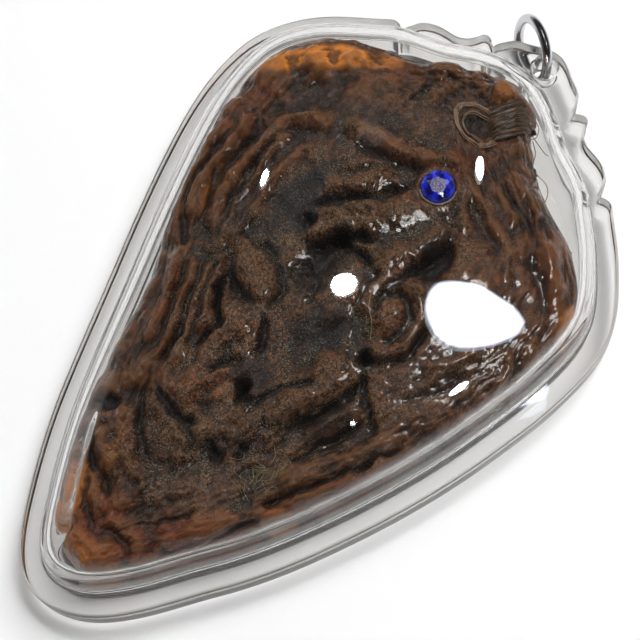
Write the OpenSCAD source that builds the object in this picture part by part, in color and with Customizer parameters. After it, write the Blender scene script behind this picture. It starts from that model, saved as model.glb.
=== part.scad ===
// Keepsake amulet in a clear case. A dark, folded, resin-coated charm with a small round stone and a lock of
// hair is sealed between a shallow clear tray and a clear domed cover. Both are bonded to a thick clear rim
// plate, and the plate's scalloped crest carries a steel ring. The case lies on its back: the back face is at
// z = 0, +Y runs along the case to the ring, +X is on the right seen from the front, +Z comes out of the dome.

/* [Case] */
// Thickness of the rim plate
plate_t = 4.1; // [3.5:0.1:4.5]
// Height of the tray behind the plate
tray_h = 2.6; // [2.4:0.1:3]
// Thickness of the tray's floor
floor_t = 1.4; // [1:0.1:1.4]
// Height of the domed cover above the plate
dome_h = 8.5; // [8.3:0.1:10]
// Thickness of the dome's wall and of the tray's side
wall = 1.5; // [1.2:0.1:1.7]
// Width of the plate's flange outside the dome's foot
flange = 3; // [2.6:0.1:3.2]
// Glue line between bonded pieces
glue = 0.05; // [0.03:0.01:0.1]

/* [Ring] */
// Radius of the hole in the crest
hole_r = 1.65; // [1.6:0.05:1.8]
// Place of the hole along the case
hole_y = 46.2; // [46:0.1:46.4]
// Radius of the ring, to the middle of its wire
ring_r = 4.3; // [4.2:0.05:4.4]
// Thickness of the ring's wire
wire_d = 1.35; // [1:0.05:1.4]
// Distance of the ring's centre from the hole's axis
ring_reach = 4; // [3.9:0.05:4.05]
// Height of the ring's centre
ring_z = 4.95; // [4.9:0.05:5.2]
// Direction in which the ring lies, from +X towards +Y
ring_turn = 155; // [10:1:170]
// Lean of the ring's top away from the hole
ring_lean = 12; // [8:1:12]

/* [Charm] */
// Height of the charm's underside
under_z = 1.6; // [1.5:0.1:2]
// Height of the charm's widest edge
edge_z = 5.5; // [4.5:0.1:6]
// Height where the charm's rounded edge ends
shoulder_z = 10; // [9:0.1:10.3]
// Width of the rounding above the widest edge
edge_round = 4.5; // [3:0.1:6]
// Width of the rounding below the widest edge
under_round = 3; // [2:0.1:4]
// Swell of the middle above the shoulder
swell = 1.1; // [0.5:0.1:1.3]
// Greatest height of any fold
fold_top = 12.7; // [12.3:0.1:12.9]

/* [Stone and hair] */
// Diameter of the stone
gem_d = 4.6; // [4:0.1:5]
// Height of the stone
gem_h = 1.6; // [1.2:0.1:1.7]
// Height of the stone's seat
seat_z = 10.6; // [10.3:0.1:10.8]
// Gap between the hair and the charm
hair_gap = 0.15; // [0.1:0.05:0.3]

/* [Hidden] */
plate_z = tray_h;
dome_z = plate_z + plate_t;
point_gap = 2.2;        // spacing of the points on the tray and the dome
rim_point_gap = 1.5;    // spacing of the points on the plate
crest_steps = 3;        // fewest steps between two rows of an outline

// Outline of the rim below its crest, anticlockwise: x, y, heading
RIM = [
    [-20.4, 37.2, 223], [-27.2, 31.1, 229], [-31.8, 20.2, 269], [-28.5, 5.3, 292],
    [-20.4, -12.2, 297], [-11.7, -29.5, 298], [-3.8, -41.7, 307], [5.6, -48.5, 360],
    [13.4, -44.7, 48], [20.9, -32.4, 60], [28.1, -15, 72.5], [32.2, 2.7, 82],
    [33.3, 14.1, 90], [31.5, 25.2, 118], [25.8, 32.4, 134], [20.4, 37.2, 137]];

// Right half of the crest, from the shoulder to the crown: x, y, heading in, heading out
CREST = [
    [19.3, 37.75, 178, 178], [17.9, 37.4, 200, 85],      // outer notch
    [17.2, 39.2, 104, 104], [15.6, 40.75, 150, 150], [12.6, 41.5, 172, 172],
    [10.4, 42.7, 125, 125], [9.6, 44.2, 110, 110], [8.8, 44.7, 180, 180],
    [7.25, 43.95, 205, 82],                              // inner notch
    [6.3, 46, 118, 118], [3.5, 47.8, 150, 150], [0, 49.1, 180, 180]];

// Arch of the dome's foot under the crest: x, y, heading
ARCH = [[10, 39.2, 147], [0, 43, 180], [-10, 39.2, 213]];

// Profile of the dome from its foot to its top: rise, inset along the normal, share of the way to the spine
DOME = [
    [0, 0, 0], [2.4, 0.25, 0], [4.4, 0.9, 0], [5.9, 2.3, 0], [6.9, 3, 0.07],
    [7.6, 3, 0.2], [8.1, 3, 0.4], [8.4, 3, 0.65], [8.5, 3, 0.92]];
half_width = 24;        // usual distance from the foot to the spine
spine_ends = [[4, -30], [0, 22]];

// Profile of the tray, from the edge of its flat bottom out and up to its top: height, inset
TRAY = [[0, 3], [0.15, 1.9], [0.55, 0.9], [1.2, 0.2], [2, 0]];
tray_fillet = 1;        // rounding between the tray's floor and its side

// Sections across the charm, from the crest end to the tip: left x, left y, right x, right y
SECTIONS = [
    [-1.5, 40.2, 2.6, 40.1], [-4.4, 39.2, 4.3, 39], [-7.9, 37.4, 4.9, 37], [-11.9, 34.2, 6.8, 35],
    [-16.6, 31.4, 10.2, 32.4], [-20.5, 29.4, 14.6, 30], [-24.6, 26.2, 20.8, 27.6], [-26.4, 21.8, 25.8, 23],
    [-26, 17, 27.8, 18], [-24.9, 13.6, 28.2, 12.6], [-25.3, 10.8, 27.9, 8.6], [-23.6, 6, 27, 3.8],
    [-21.4, 1.1, 26.1, -1.6], [-18.4, -4.1, 24.9, -7.4], [-14.9, -9, 23.4, -13], [-11.4, -14.9, 21.2, -19.3],
    [-8.7, -20, 19.4, -24], [-7.1, -25.2, 17, -29.1], [-5.7, -29.7, 14.3, -33.2], [-3.1, -34, 12, -36.8],
    [-0.1, -38.4, 10.2, -39.8], [1.5, -40.3, 9, -41.3], [4.2, -41.9, 7.6, -42.2]];
section_steps = 3;      // sections made from each row
top_strips = 46;        // strips across the charm's upper face
under_strips = 8;       // strips across its underside
edge_bias = 0.6;        // how much the strips crowd towards the edge
blunt = 0.1;            // nearest that a point inside the edge counts as being to it
fade = 2.5;             // width along the edge over which the folds die out
fold_reach = 7;         // squared distance, in half lengths and widths, past which a fold adds nothing
swell_start = 4;        // distance from the edge where the swell starts
swell_end = 13;         // and where it is full

// Folds, lobes, creases and pits of the charm: x, y, half length, half width, direction, rise
FOLDS = [
    [-20, 9.2, 3.8, 1.3, 102, 1.1], [-17.5, 1.2, 4.2, 1.3, 115, 0.9],         // ridges at the left edge
    [-14.7, 16.4, 3.5, 1.3, 44, 0.8], [-14, 5.9, 7.4, 1.2, 112, 1],           // arch ridge and its leg
    [-12.5, 7.1, 6.8, 1.1, 99, 0.9], [-11.8, 2.4, 7.6, 1.1, 109, -0.9],       // inner leg and the valley
    [-6, -7, 6.3, 1.3, 120, 1.2], [-9.6, -9.8, 5.3, 1.2, 117, 0.9],           // long ridges below them
    [-8.5, -15.5, 3.9, 1.1, 113, 0.7],
    [-3.6, -2.5, 4.2, 2.8, 164, 2], [-1.6, -7, 3.8, 2.4, 162, 1.6],           // two overlapping lobes
    [-5.4, -6.5, 3.8, 1.2, 127, -1.7], [-2, -4.8, 2.7, 1.1, 177, -1.4],       // creases round the lobes
    [-4.9, 6.8, 2.4, 1.9, 152, -1.5], [0.5, 8.2, 3, 1.3, 26, -1.3],           // dark hollow and its slit
    [-1, 12.2, 4.7, 2, 50, 1.3], [-0.2, 16.8, 4.7, 1.1, 48, -1],              // upper lobe
    [-2.8, 22.5, 4.1, 1.4, 24, 1], [-1.6, 20.3, 3.7, 1.1, 24, -0.9],          // reddish flap
    [8.8, 13.7, 4.9, 1.8, 91, 1.3], [11.2, 12.6, 3.7, 1.2, 86, -1.5],         // diagonal fold below the stone
    [12.4, 5.2, 2.6, 2.8, 142, 1.2], [15.7, 3.2, 3.3, 1.2, 71, -1.5],         // curl and the groove round it
    [13.1, -0.5, 1.9, 1.4, 173, -1.8],                                        // pit
    [12.6, -4.4, 2.2, 2.3, 152, 1.2], [18.1, -4.8, 3.9, 1.1, 132, -0.9],
    [11.8, -9.7, 3.5, 1.7, 64, 1.1], [11.8, -14, 2.4, 2, 62, 0.9],            // low lobes
    [5.1, -11, 2.8, 1.5, 158, -1.6], [8.1, -18.6, 1.9, 1.5, 4, -1.6],         // cleft and pit
    [2.5, -16.6, 2.9, 1.7, 28, 1.3], [4.1, -18.6, 2.6, 1.1, 31, -1],          // red fold
    [26, 11.9, 1.9, 1.3, 126, 0.6], [25.4, 7, 2.2, 1.2, 97, 0.6],             // right edge
    [-18.3, 18.9, 4.1, 2.2, 36, -0.8], [-5.7, 25, 4.2, 2.8, 24, 0.5],         // smooth hollow, grainy skin
    [-22.6, 21.4, 2, 1.5, 84, 0.7], [-17.6, 26, 1.8, 1.4, 9, 0.7],            // bulges at the upper left
    [-1.6, -31, 2.9, 1.2, 144, -0.8], [2, -30.9, 4.7, 1.4, 157, 0.7],         // folds at the tip
    [6.3, -31.1, 1.4, 1.4, 175, 0.6], [5.3, -38.3, 2.4, 1.6, 0, 0.6],
    [15.2, -26.8, 5.9, 1.3, 63, 0.8], [12.9, -26.4, 4.8, 1.1, 63, -0.7]];     // fold at the lower edge

// Stone
gem_at = [4, 21.9];
seat_flat = 3;          // radius of the level ground round the stone
seat_blend = 2;         // width over which it meets the folds
gem_sides = 8;
girdle_h = 0.35;
gem_table = 0.44;       // width of the table, as a share of the stone's
star_reach = 0.45;      // how far out the star facets' tips lie between the table and the girdle

// Hair: x, y, half width, half height of each row of a lock
BUNDLE = [
    [0.2, 32.6, 0.7, 0.4], [1.6, 33.5, 1.3, 0.5], [2.7, 35, 1.7, 0.6], [3.4, 36.4, 1.6, 0.6],
    [3.7, 37.5, 1.1, 0.45], [3.9, 38.1, 0.5, 0.3]];
LOOP = [
    [1.4, 34, 0.35, 0.3], [-0.3, 34.1, 0.45, 0.4], [-1.5, 33.2, 0.5, 0.4], [-1.9, 32, 0.5, 0.4],
    [-1.2, 30.6, 0.5, 0.4], [0.4, 29.8, 0.5, 0.4], [2.4, 29.6, 0.5, 0.4], [3.6, 30.2, 0.5, 0.4],
    [3.6, 31.6, 0.45, 0.4], [2.8, 32.8, 0.4, 0.35], [2.4, 33.8, 0.35, 0.3]];
lock_steps = 3;
lock_sides = 10;

function unit(v) = v / norm(v);
function turned(v) = [-v[1], v[0]];
function between(a, b, t) = a + (b - a) * t;
function ease(t) = let (u = min(1, max(0, t))) u * u * (3 - 2 * u);

// Points of the curve from one outline row to the next, leaving out the last
function span(a, b, gap) =
    let (p = [a[0], a[1]], q = [b[0], b[1]], chord = norm(q - p),
         steps = max(crest_steps, round(chord / gap)),
         u = chord * [cos(a[3]), sin(a[3])], v = chord * [cos(b[2]), sin(b[2])])
    [for (i = [0:steps - 1]) let (t = i / steps)
        (2 * t - 3) * t * t * (p - q) + p + t * (1 - t) * (u * (1 - t) - v * t)];
function outline(rows, gap) =
    [for (i = [0:len(rows) - 1]) each span(rows[i], rows[(i + 1) % len(rows)], gap)];

// Rows with one heading, as rows with the same heading in and out, moved inwards by some distance
function moved_in(rows, d) =
    [for (r = rows) [r[0] - d * sin(r[2]), r[1] + d * cos(r[2]), r[2], r[2]]];
function mirrored(rows) =
    [for (i = [len(rows) - 1:-1:0]) let (r = rows[i]) [-r[0], r[1], -r[3], -r[2]]];

crown = len(CREST) - 1;
rim_rows = concat(moved_in(RIM, 0), CREST, mirrored([for (i = [0:crown - 1]) CREST[i]]));
foot_rows = concat(moved_in(RIM, flange), moved_in(ARCH, 0));
foot = outline(foot_rows, point_gap);
foot_n = len(foot);
foot_in = [for (i = [0:foot_n - 1]) unit(turned(foot[(i + 1) % foot_n] - foot[(i + foot_n - 1) % foot_n]))];

// Nearest point of a line from a to b
function on_line(p, a, b) =
    a + (b - a) * min(1, max(0, (p - a) * (b - a) / ((b - a) * (b - a))));

// A closed ring of the foot's outline, moved inwards and then part of the way to the spine
function foot_ring(z, inset, share) =
    [for (i = [0:foot_n - 1])
        let (p = foot[i] + inset * foot_in[i],
             q = between(p, on_line(p, spine_ends[0], spine_ends[1]), share))
        [q[0], q[1], z]];

// The solid whose skin runs through rings of equal length, from the ring that closes one end to the other
module skin(rings) {
    n = len(rings[0]);
    last = len(rings) - 1;
    polyhedron(
        points = [for (r = rings) each r],
        faces = concat(
            [[for (i = [0:n - 1]) i]],
            [for (k = [0:last - 1], i = [0:n - 1]) let (j = (i + 1) % n)
                each [[k * n + i, (k + 1) * n + i, k * n + j], [k * n + j, (k + 1) * n + i, (k + 1) * n + j]]],
            [[for (i = [n - 1:-1:0]) last * n + i]]));
}

// Profile rows of the dome's inner face, one wall inside the outer ones
function inner_row(k) =
    let (a = DOME[max(0, k - 1)], b = DOME[min(len(DOME) - 1, k + 1)], r = DOME[k],
         run = unit([b[1] - a[1] + half_width * (b[2] - a[2]), b[0] - a[0]]))
    k == 0 ? [0, wall, 0] : [r[0] - wall * run[0], r[1] + wall * run[1], r[2]];
dome_scale = dome_h / DOME[len(DOME) - 1][0];

module front_dome() {
    color("azure", 0.4)
    skin(concat(
        [for (k = [0:len(DOME) - 1]) let (r = DOME[len(DOME) - 1 - k])
            foot_ring(dome_z + glue + dome_scale * r[0], r[1], r[2])],
        [for (k = [0:len(DOME) - 1]) let (r = inner_row(k))
            foot_ring(dome_z + glue + dome_scale * r[0], r[1], r[2])]));
}

module rim_plate() {
    color("lightcyan", 0.5)
    difference() {
        translate([0, 0, plate_z]) linear_extrude(plate_t)
            difference() {
                polygon(outline(rim_rows, rim_point_gap));
                polygon([for (p = foot_ring(0, wall, 0)) [p[0], p[1]]]);
            }
        translate([0, hole_y, plate_z - 1]) cylinder(h = plate_t + 2, r = hole_r, $fn = 48);
    }
}

module back_cover() {
    tray_top = tray_h - glue;
    color("azure", 0.4)
    skin(concat(
        [for (a = [90:-30:0]) foot_ring(floor_t + tray_fillet * (1 - sin(a)), wall + tray_fillet * (1 - cos(a)), 0)],
        [foot_ring(tray_top, wall, 0), foot_ring(tray_top, 0, 0)],
        [for (k = [len(TRAY) - 1:-1:0]) foot_ring(TRAY[k][0], TRAY[k][1], 0)]));
}

// A smooth curve through rows of any width, with some steps from each row to the next
function curve(rows, steps) =
    [for (i = [0:len(rows) - 2], k = [0:steps - 1]) through(rows, i, k / steps),
     rows[len(rows) - 1]];
function through(rows, i, t) =
    let (a = rows[max(0, i - 1)], b = rows[i], c = rows[i + 1], d = rows[min(len(rows) - 1, i + 2)])
    b + 0.5 * t * (c - a + t * (2 * a - 5 * b + 4 * c - d + t * (3 * (b - c) + d - a)));

sections = curve(SECTIONS, section_steps);
charm_edge = concat(
    [for (s = sections) [s[0], s[1]]],
    [for (i = [len(sections) - 1:-1:0]) [sections[i][2], sections[i][3]]]);
edge_n = len(charm_edge);
function edge_distance(p) =
    min([for (i = [0:edge_n - 1]) norm(p - on_line(p, charm_edge[i], charm_edge[(i + 1) % edge_n]))]);

// Height added by one fold at a point
function fold_rise(f, p) =
    let (x = p[0] - f[0], y = p[1] - f[1],
         u = (x * cos(f[4]) + y * sin(f[4])) / f[2], v = (y * cos(f[4]) - x * sin(f[4])) / f[3],
         r = u * u + v * v)
    r > fold_reach ? 0 : f[5] * exp(-r);
function add(values, i = 0) = i == len(values) ? 0 : values[i] + add(values, i + 1);
function relief(p) = add([for (f = FOLDS) fold_rise(f, p)]);

function quarter_round(d, width) = let (t = max(0, 1 - d / width)) sqrt(1 - t * t);
function top_z(p, d) =
    let (ground = between(edge_z, shoulder_z, quarter_round(d, edge_round))
                  + swell * ease((d - swell_start) / (swell_end - swell_start)),
         rough = min(fold_top, ground + relief(p) * ease(d / fade)))
    between(seat_z, rough, ease((norm(p - gem_at) - seat_flat) / seat_blend));
function under_z_at(d) = between(edge_z, under_z, quarter_round(d, under_round));
function charm_top(p) = top_z(p, max(blunt, edge_distance(p)));

// A point across a section, from -1 at its left end to 1 at its right end
function across(s, u) =
    let (w = (1 - edge_bias) * u + edge_bias * sin(90 * u))
    between([s[0], s[1]], [s[2], s[3]], (1 + w) / 2);
function row_of(s, strips) = [for (k = [1:strips - 1]) across(s, 2 * k / strips - 1)];

module charm_body() {
    rows = len(sections);
    a = top_strips - 1;     // inner points in each upper row
    b = under_strips - 1;   // inner points in each lower row
    n = a + b + 2;          // all points of a section: left end, upper row, right end, lower row
    points = [for (s = sections) each concat(
        [[s[0], s[1], edge_z]],
        [for (p = row_of(s, top_strips)) let (d = max(blunt, edge_distance(p))) [p[0], p[1], top_z(p, d)]],
        [[s[2], s[3], edge_z]],
        [for (k = [b:-1:1]) let (p = row_of(s, under_strips)[k - 1], d = max(blunt, edge_distance(p)))
            [p[0], p[1], under_z_at(d)]])];
    faces = concat(
        [[for (i = [n - 1:-1:0]) i]],
        [for (k = [0:rows - 2], i = [0:n - 1]) let (j = (i + 1) % n)
            each [[k * n + i, k * n + j, (k + 1) * n + i], [k * n + j, (k + 1) * n + j, (k + 1) * n + i]]],
        [[for (i = [0:n - 1]) (rows - 1) * n + i]]);
    color("saddlebrown") polyhedron(points, faces);
}

// Round stone with a flat back: girdle, upper girdle facets, kites, stars and the table
module gem() {
    r = gem_d / 2;
    step = 360 / gem_sides;
    table_r = gem_table * r;
    slope = (gem_h - girdle_h) / (r - table_r);
    star_x = between(table_r, r, star_reach);
    star_r = star_x / cos(step / 2);
    star_z = gem_h - slope * (star_x - table_r);
    back = [for (i = [0:2 * gem_sides - 1]) [r * cos(i * step / 2), r * sin(i * step / 2), 0]];
    girdle = [for (p = back) [p[0], p[1], girdle_h]];
    stars = [for (i = [0:gem_sides - 1]) let (a = (i + 0.5) * step) [star_r * cos(a), star_r * sin(a), star_z]];
    top = [for (i = [0:gem_sides - 1]) [table_r * cos(i * step), table_r * sin(i * step), gem_h]];
    g = 2 * gem_sides;
    s = 2 * g;
    t = s + gem_sides;
    color("royalblue")
    translate([gem_at[0], gem_at[1], seat_z + glue])
    polyhedron(
        points = concat(back, girdle, stars, top),
        faces = concat(
            [[for (i = [0:g - 1]) i]],
            [for (i = [0:g - 1]) let (j = (i + 1) % g) [i, g + i, g + j, j]],
            [for (i = [0:gem_sides - 1]) let (j = (i + 1) % gem_sides, h = (i + gem_sides - 1) % gem_sides)
                each [[s + i, g + 2 * i + 1, g + 2 * i], [s + i, g + 2 * j, g + 2 * i + 1],
                      [t + i, s + i, g + 2 * i, s + h], [t + i, t + j, s + i]]],
            [[for (i = [gem_sides - 1:-1:0]) t + i]]));
}

// One lock of hair: an oval tube that lies along its rows on the highest ground under it
module lock(rows) {
    path = curve(rows, lock_steps);
    last = len(path) - 1;
    middle = [for (k = [0:last])
        let (p = [path[k][0], path[k][1]], a = path[max(0, k - 1)], b = path[min(last, k + 1)],
             side = path[k][2] * unit(turned([b[0] - a[0], b[1] - a[1]])))
        [p[0], p[1], max(charm_top(p), charm_top(p + side), charm_top(p - side)) + path[k][3] + hair_gap]];
    skin([for (k = [0:last])
        let (along = unit(middle[min(last, k + 1)] - middle[max(0, k - 1)]),
             side = unit(cross([0, 0, 1], along)), up = cross(along, side))
        [for (i = [0:lock_sides - 1]) let (a = 360 * i / lock_sides)
            middle[k] + path[k][2] * cos(a) * side + path[k][3] * sin(a) * up]]);
}

module hair_tuft() {
    color("peru") union() {
        lock(BUNDLE);
        lock(LOOP);
    }
}

module ring() {
    color("silver")
    translate([0, hole_y, 0]) rotate(ring_turn) translate([ring_reach, 0, ring_z]) rotate([90 + ring_lean, 0, 0])
        rotate_extrude($fn = 96) translate([ring_r, 0]) circle(d = wire_d, $fn = 32);
}

back_cover();
rim_plate();
front_dome();
charm_body();
gem();
hair_tuft();
ring();
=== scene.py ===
"""Keepsake amulet: a folded, resin-coated charm with a blue stone and a lock of hair, sealed in a clear case.

Lengths are in millimetres, but those of lamps, cards and the table and the thickness of strands are in
metres, as meshes are. A place written as a pair of picture pixels is put on the charm, on the case or at a
given height by the camera that this script makes.
"""
import math

import bmesh
import bpy
import numpy as np
from mathutils import Matrix, Vector, noise
from mathutils.bvhtree import BVHTree
from mathutils.geometry import tessellate_polygon
from mathutils.interpolate import poly_3d_calc


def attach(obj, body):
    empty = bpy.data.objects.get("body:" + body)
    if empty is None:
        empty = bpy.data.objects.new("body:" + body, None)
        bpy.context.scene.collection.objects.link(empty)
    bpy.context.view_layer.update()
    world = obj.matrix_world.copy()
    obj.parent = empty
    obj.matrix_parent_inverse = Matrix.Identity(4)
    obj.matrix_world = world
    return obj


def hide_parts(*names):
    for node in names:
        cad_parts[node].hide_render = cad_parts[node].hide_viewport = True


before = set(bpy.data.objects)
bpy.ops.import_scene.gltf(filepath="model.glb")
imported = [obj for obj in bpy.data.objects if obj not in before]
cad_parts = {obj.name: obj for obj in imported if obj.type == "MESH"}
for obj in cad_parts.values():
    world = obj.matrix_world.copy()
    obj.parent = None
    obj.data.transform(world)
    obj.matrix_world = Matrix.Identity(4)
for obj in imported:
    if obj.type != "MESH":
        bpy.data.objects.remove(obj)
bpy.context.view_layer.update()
scene = bpy.context.scene
MM = 0.001


# Camera

CAMERA_PLACE = np.array([64.27, -41.29, 190.69])
CAMERA_AIM = np.array([2.58, 1.57, 0.0])
PICTURE_UP = 136.2          # heading of the picture's upward direction on the table, degrees from +X
LENS, SENSOR, PICTURE = 88.11, 36.0, 640

up_hint = np.array([math.cos(math.radians(PICTURE_UP)), math.sin(math.radians(PICTURE_UP)), 0.0])
camera_back = (CAMERA_PLACE - CAMERA_AIM) / np.linalg.norm(CAMERA_PLACE - CAMERA_AIM)
camera_right = np.cross(up_hint, camera_back)
camera_right /= np.linalg.norm(camera_right)
camera_up = np.cross(camera_back, camera_right)


def make_camera():
    camera = bpy.data.objects.new("camera", bpy.data.cameras.new("camera"))
    camera.data.lens = LENS
    camera.data.sensor_width = SENSOR
    camera.data.clip_start = 0.01
    turn = Matrix((camera_right, camera_up, camera_back)).transposed().to_4x4()
    camera.matrix_world = Matrix.Translation(Vector(CAMERA_PLACE * MM)) @ turn
    scene.collection.objects.link(camera)
    scene.camera = camera


make_camera()


def sight_lines(pixels):
    """Directions from the camera through picture pixels."""
    pixels = np.asarray(pixels, float)
    focal = LENS / SENSOR * PICTURE
    lines = (np.outer(pixels[:, 0] - PICTURE / 2, camera_right)
             + np.outer(PICTURE / 2 - pixels[:, 1], camera_up) - focal * camera_back)
    return lines / np.linalg.norm(lines, axis=1)[:, None]


def at_height(pixels, height):
    """Places x, y at which the picture pixels meet a height, or each its own height."""
    lines = sight_lines(pixels)
    reach = (height - CAMERA_PLACE[2]) / lines[:, 2]
    return (CAMERA_PLACE + lines * reach[:, None])[:, :2]


# Outlines and curves

def ease(t):
    t = np.clip(t, 0, 1)
    return t * t * (3 - 2 * t)


def hermite_outline(rows, gap, fewest=3):
    """Closed outline through rows of x, y, heading in and heading out, with points about gap apart."""
    points = []
    for a, b in zip(rows, rows[1:] + rows[:1]):
        p, q = np.array(a[:2], float), np.array(b[:2], float)
        chord = np.linalg.norm(q - p)
        steps = max(fewest, round(chord / gap))
        leave = chord * np.array([math.cos(math.radians(a[3])), math.sin(math.radians(a[3]))])
        arrive = chord * np.array([math.cos(math.radians(b[2])), math.sin(math.radians(b[2]))])
        t = (np.arange(steps) / steps)[:, None]
        points.append((2 * t - 3) * t * t * (p - q) + p + t * (1 - t) * (leave * (1 - t) - arrive * t))
    return np.concatenate(points)


def inward(outline):
    """Unit normals that point into an anticlockwise outline."""
    along = np.roll(outline, -1, 0) - np.roll(outline, 1, 0)
    normals = np.stack([-along[:, 1], along[:, 0]], 1)
    return normals / np.linalg.norm(normals, axis=1)[:, None]


def spline(rows, at, count):
    """Natural cubic curve through rows, one at each value in at, as count points evenly spaced in at."""
    rows, at = np.asarray(rows, float), np.asarray(at, float)
    n, gap = len(at), np.diff(at)
    system, right = np.eye(n), np.zeros_like(rows)
    for i in range(1, n - 1):
        system[i, i - 1:i + 2] = gap[i - 1], 2 * (gap[i - 1] + gap[i]), gap[i]
        right[i] = 6 * ((rows[i + 1] - rows[i]) / gap[i] - (rows[i] - rows[i - 1]) / gap[i - 1])
    bend = np.linalg.solve(system, right)
    where = np.linspace(at[0], at[-1], count)
    k = np.clip(np.searchsorted(at, where) - 1, 0, n - 2)
    h, a, b = gap[k][:, None], (at[k + 1] - where)[:, None], (where - at[k])[:, None]
    return (bend[k] * a ** 3 + bend[k + 1] * b ** 3) / (6 * h) \
        + (rows[k] / h - bend[k] * h / 6) * a + (rows[k + 1] / h - bend[k + 1] * h / 6) * b


def through(rows, steps):
    """Catmull-Rom curve through rows of any width."""
    rows = np.asarray(rows, float)
    ends = np.concatenate([rows[:1], rows, rows[-1:]])
    t = (np.arange(steps) / steps)[:, None]
    parts = [b + 0.5 * t * (c - a + t * (2 * a - 5 * b + 4 * c - d + t * (3 * (b - c) + d - a)))
             for a, b, c, d in zip(ends, ends[1:], ends[2:], ends[3:])]
    return np.concatenate(parts + [rows[-1:]])


def nearest_on_path(points, path):
    """For each point its distance to an open path, its side (1 left, -1 right) and how far along it lies, and
    the length of the path."""
    best = np.full(len(points), 1e9)
    side, along, done = np.ones(len(points)), np.zeros(len(points)), 0.0
    for a, b in zip(path[:-1], path[1:]):
        step = b - a
        length = np.linalg.norm(step)
        share = np.clip(((points - a) @ step) / length ** 2, 0, 1)
        off = points - (a + share[:, None] * step)
        distance = np.linalg.norm(off, axis=1)
        closer = distance < best
        best[closer] = distance[closer]
        side[closer] = np.where(step[0] * off[closer, 1] - step[1] * off[closer, 0] > 0, 1.0, -1.0)
        along[closer] = done + share[closer] * length
        done += length
    return best, side, along, done


# Outline of the rim below its crest, anticlockwise: x, y, heading
RIM = [(-20.4, 37.2, 223), (-27.2, 31.1, 229), (-31.8, 20.2, 269), (-28.5, 5.3, 292), (-20.4, -12.2, 297),
       (-11.7, -29.5, 298), (-3.8, -41.7, 307), (5.6, -48.5, 360), (13.4, -44.7, 48), (20.9, -32.4, 60),
       (28.1, -15, 72.5), (32.2, 2.7, 82), (33.3, 14.1, 90), (31.5, 25.2, 118), (25.8, 32.4, 134),
       (20.4, 37.2, 137)]
# Right half of the crest, from the shoulder to the crown: x, y, heading in, heading out
CREST = [(19.3, 37.75, 178, 178), (17.9, 37.4, 200, 85), (17.2, 39.2, 104, 104), (15.6, 40.75, 150, 150),
         (12.6, 41.5, 172, 172), (10.4, 42.7, 125, 125), (9.6, 44.2, 110, 110), (8.8, 44.7, 180, 180),
         (7.25, 43.95, 205, 82), (6.3, 46, 118, 118), (3.5, 47.8, 150, 150), (0, 49.1, 180, 180)]
# Arch of the dome's foot under the crest: x, y, heading
ARCH = [(10, 39.2, 147), (0, 43, 180), (-10, 39.2, 213)]
# Ledge round the dome, its wall, how much less wall its foot has, and lean of the cavity's side below it
FLANGE, WALL, THINNER, DRAFT = 3.0, 1.5, 0.25, 0.13
PLATE_BOTTOM, PLATE_TOP, FLOOR_TOP = 2.6, 6.7, 1.4
DOME_FOOT, DOME_TOP, DOME_STEPS = 6.75, 15.25, 64
HOLE_Y, HOLE_R = 46.2, 1.65
SPINE = np.array([(4.0, -30.0), (0.0, 22.0)])

rim_rows = ([(x, y, h, h) for x, y, h in RIM] + CREST
            + [(-x, y, -out, -into) for x, y, into, out in CREST[-2::-1]])
foot_rows = [(x - FLANGE * math.sin(math.radians(h)), y + FLANGE * math.cos(math.radians(h)), h, h)
             for x, y, h in RIM] + [(x, y, h, h) for x, y, h in ARCH]
rim_outline = hermite_outline(rim_rows, 0.5, 4)
foot_outline = hermite_outline(foot_rows, 0.55)
rim_in, foot_in = inward(rim_outline), inward(foot_outline)
spine_step = SPINE[1] - SPINE[0]


def foot_ring(height, inset, share=0.0):
    """The dome's foot moved in along its normal, then a share of the way to the spine, at a height."""
    ring = foot_outline + inset * foot_in
    along = np.clip((ring - SPINE[0]) @ spine_step / (spine_step @ spine_step), 0, 1)
    ring = ring + share * (SPINE[0] + along[:, None] * spine_step - ring)
    return np.column_stack([ring, np.full(len(ring), height)])


def rim_ring(height, inset):
    return np.column_stack([rim_outline + inset * rim_in, np.full(len(rim_outline), height)])


def hole_ring(height, radius, points=64):
    a = np.linspace(0, 2 * math.pi, points, endpoint=False)
    return np.column_stack([radius * np.cos(a), HOLE_Y + radius * np.sin(a), np.full(points, height)])


# Mesh building

class Shell:
    """A surface made of rings of points. Faces between rings that follow each other up point outwards."""

    def __init__(self):
        self.points, self.faces, self.flat, self.count = [], [], [], 0

    def ring(self, points):
        self.points.append(points)
        self.count += len(points)
        return range(self.count - len(points), self.count)

    def bridge(self, low, high, inside=False):
        for i in range(len(low)):
            j = (i + 1) % len(low)
            face = (low[i], low[j], high[j], high[i])
            self.faces.append(face[::-1] if inside else face)
            self.flat.append(False)

    def sleeve(self, rings, inside=False):
        made = [self.ring(r) for r in rings]
        for low, high in zip(made, made[1:]):
            self.bridge(low, high, inside)
        return made[0], made[-1]

    def level(self, loops, upward):
        """A flat face between an outer loop and the holes in it."""
        places = np.concatenate(self.points)
        order = [i for loop in loops for i in loop]
        for corners in tessellate_polygon([[Vector(places[i]) for i in loop] for loop in loops]):
            a, b, c = (order[i] for i in corners)
            p, q, r = places[a], places[b], places[c]
            turn = (q[0] - p[0]) * (r[1] - p[1]) - (q[1] - p[1]) * (r[0] - p[0])
            if abs(turn) > 1e-9:
                self.faces.append((a, b, c) if (turn > 0) == upward else (c, b, a))
                self.flat.append(True)

    def mesh_object(self, name):
        return mesh_object(name, np.concatenate(self.points), self.faces, self.flat)


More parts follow.
